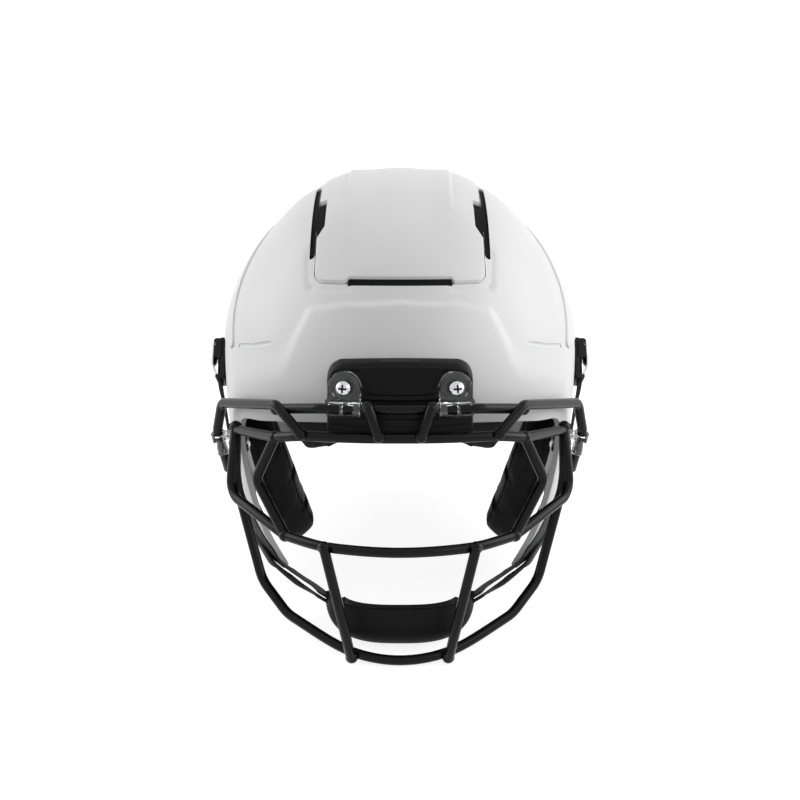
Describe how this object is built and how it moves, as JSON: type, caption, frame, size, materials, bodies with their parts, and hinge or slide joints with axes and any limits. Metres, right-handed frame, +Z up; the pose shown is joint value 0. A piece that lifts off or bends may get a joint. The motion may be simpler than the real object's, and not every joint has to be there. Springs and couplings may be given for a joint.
{
  "type": "football helmet",
  "caption": "Football helmet: moulded shell with floating crown and side plates, welded wire face guard, padded liner, chin cup on webbing with cam buckles",
  "frame": {"origin": "bottom centre of the bounding box, on the ground under the helmet when it stands on its chin bar level", "axes": "+Z up through the crown, -Y the way the face looks, +X the wearer's left"},
  "size_m": [0.26, 0.3332, 0.2671],
  "materials": {
    "shell": "white moulded polycarbonate, high gloss",
    "plate": "white moulded polycarbonate, high gloss",
    "bumper": "black moulded rubber, satin",
    "wire": "black powder coat on steel wire, satin",
    "clip": "clear moulded polycarbonate",
    "screw": "bright plated steel",
    "stop": "soft grey-black rubber",
    "pad": "black coated cloth over foam, matt",
    "patch": "black hook tape",
    "buckle": "black moulded nylon",
    "lever": "bright plated steel",
    "web": "black woven webbing",
    "cup": "black moulded plastic, matt",
    "valve": "black rubber"
  },
  "bodies": {
    "helmet": {"shell": "shell", "crown_stops": "stop", "side_stops": "stop", "nose_bumper": "bumper", "rear_bumper": "bumper", "rear_bumper_screws": "screw", "mask_upper_brow_bar": "wire", "mask_lower_brow_bar": "wire", "mask_brow_struts": "wire", "mask_side_loop_left": "wire", "mask_side_loop_right": "wire", "mask_sweep_left": "wire", "mask_sweep_right": "wire", "mask_mouth_bar": "wire", "mask_chin_bar": "wire", "mask_chin_struts": "wire", "front_clip_left": "clip", "front_clip_right": "clip", "side_clip_left": "clip", "side_clip_right": "clip", "nuts": "screw", "snap_studs": "screw", "front_pad": "pad", "crown_pad": "pad", "rear_pad": "pad", "side_pad_left": "pad", "side_pad_right": "pad", "jaw_pad_left": "pad", "jaw_pad_right": "pad", "hook_patches": "patch", "upper_buckle_left": "buckle", "upper_buckle_right": "buckle", "lower_buckle_left": "buckle", "lower_buckle_right": "buckle", "upper_strap_left": "web", "upper_strap_right": "web", "lower_strap_left": "web", "lower_strap_right": "web", "air_valves": "valve"},
    "crown_plate": {"crown_plate": "plate"},
    "side_plate_left": {"side_plate_left": "plate"},
    "side_plate_right": {"side_plate_right": "plate"},
    "front_screw_left": {"front_screw_left": "screw"},
    "front_screw_right": {"front_screw_right": "screw"},
    "side_screw_left": {"side_screw_left": "screw"},
    "side_screw_right": {"side_screw_right": "screw"},
    "upper_lever_left": {"upper_lever_left": "lever"},
    "upper_lever_right": {"upper_lever_right": "lever"},
    "lower_lever_left": {"lower_lever_left": "lever"},
    "lower_lever_right": {"lower_lever_right": "lever"},
    "chin_cup": {"chin_cup": "cup", "chin_cup_pad": "pad"}
  },
  "joints": [
    {"name": "crown_plate_press", "type": "slide", "parent": "helmet", "child": "crown_plate", "axis": [0, 0, -1], "range_m": [0, 0.0014], "stiffness_N_per_m": 9000},
    {"name": "side_plate_left_press", "type": "slide", "parent": "helmet", "child": "side_plate_left", "axis": [-1, 0, 0], "range_m": [0, 0.0017], "stiffness_N_per_m": 7000},
    {"name": "side_plate_right_press", "type": "slide", "parent": "helmet", "child": "side_plate_right", "axis": [1, 0, 0], "range_m": [0, 0.0017], "stiffness_N_per_m": 7000},
    {"name": "front_screw_left_turn", "type": "hinge", "parent": "helmet", "child": "front_screw_left", "pos_m": [0.034, -0.11544, 0.1803], "axis": [0.1981, -0.9322, 0.3029], "range_deg": [0, 90]},
    {"name": "front_screw_right_turn", "type": "hinge", "parent": "helmet", "child": "front_screw_right", "pos_m": [-0.034, -0.11544, 0.1803], "axis": [0.1981, 0.9322, -0.3029], "range_deg": [0, 90]},
    {"name": "side_screw_left_turn", "type": "hinge", "parent": "helmet", "child": "side_screw_left", "pos_m": [0.10772, -0.03603, 0.10517], "axis": [0.9407, -0.336, -0.0461], "range_deg": [0, 90]},
    {"name": "side_screw_right_turn", "type": "hinge", "parent": "helmet", "child": "side_screw_right", "pos_m": [-0.10772, -0.03603, 0.10517], "axis": [0.9407, 0.336, 0.0461], "range_deg": [0, 90]},
    {"name": "upper_lever_left_turn", "type": "hinge", "parent": "helmet", "child": "upper_lever_left", "pos_m": [0.12683, 0.03875, 0.14258], "axis": [0.0432, -0.7888, 0.6131], "range_deg": [0, 75]},
    {"name": "upper_lever_right_turn", "type": "hinge", "parent": "helmet", "child": "upper_lever_right", "pos_m": [-0.12683, 0.03875, 0.14258], "axis": [0.0432, 0.7888, -0.6131], "range_deg": [0, 75]},
    {"name": "lower_lever_left_turn", "type": "hinge", "parent": "helmet", "child": "lower_lever_left", "pos_m": [0.11848, 0.05864, 0.06666], "axis": [0.2089, -0.5858, 0.783], "range_deg": [0, 75]},
    {"name": "lower_lever_right_turn", "type": "hinge", "parent": "helmet", "child": "lower_lever_right", "pos_m": [-0.11848, 0.05864, 0.06666], "axis": [0.2089, 0.5858, -0.783], "range_deg": [0, 75]},
    {"name": "chin_cup_swing", "type": "hinge", "parent": "helmet", "child": "chin_cup", "pos_m": [0, 0.03266, 0.13528], "axis": [1, 0, 0], "range_deg": [-4, 3], "stiffness_Nm_per_rad": 6, "deforming": ["upper_strap_left", "upper_strap_right", "lower_strap_left", "lower_strap_right"]}
  ]
}
